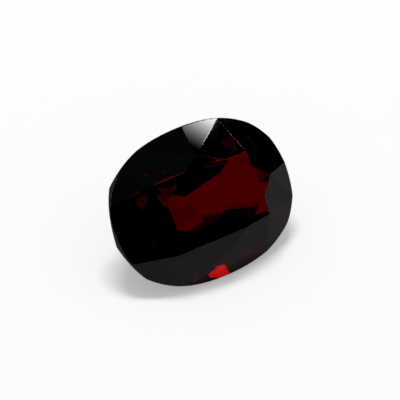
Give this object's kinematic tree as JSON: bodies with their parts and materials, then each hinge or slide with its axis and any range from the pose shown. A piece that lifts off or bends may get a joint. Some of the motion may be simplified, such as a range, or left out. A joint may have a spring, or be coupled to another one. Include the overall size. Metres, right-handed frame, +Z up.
{
  "type": "faceted garnet",
  "caption": "Loose cushion-cut dark red garnet lying on one long pavilion facet: table, brilliant crown, thin girdle and a tiered pavilion with a shallow keel.",
  "frame": {"origin": "middle of the footprint box, on the surface that the stone lies on", "axes": "+X along the stone's length, +Z up, -Y the side that the table leans towards"},
  "size_m": [0.0092, 0.0052, 0.0055],
  "materials": {
    "garnet": "polished, clear, very dark red"
  },
  "bodies": {
    "root": {"garnet": "garnet"}
  },
  "joints": []
}
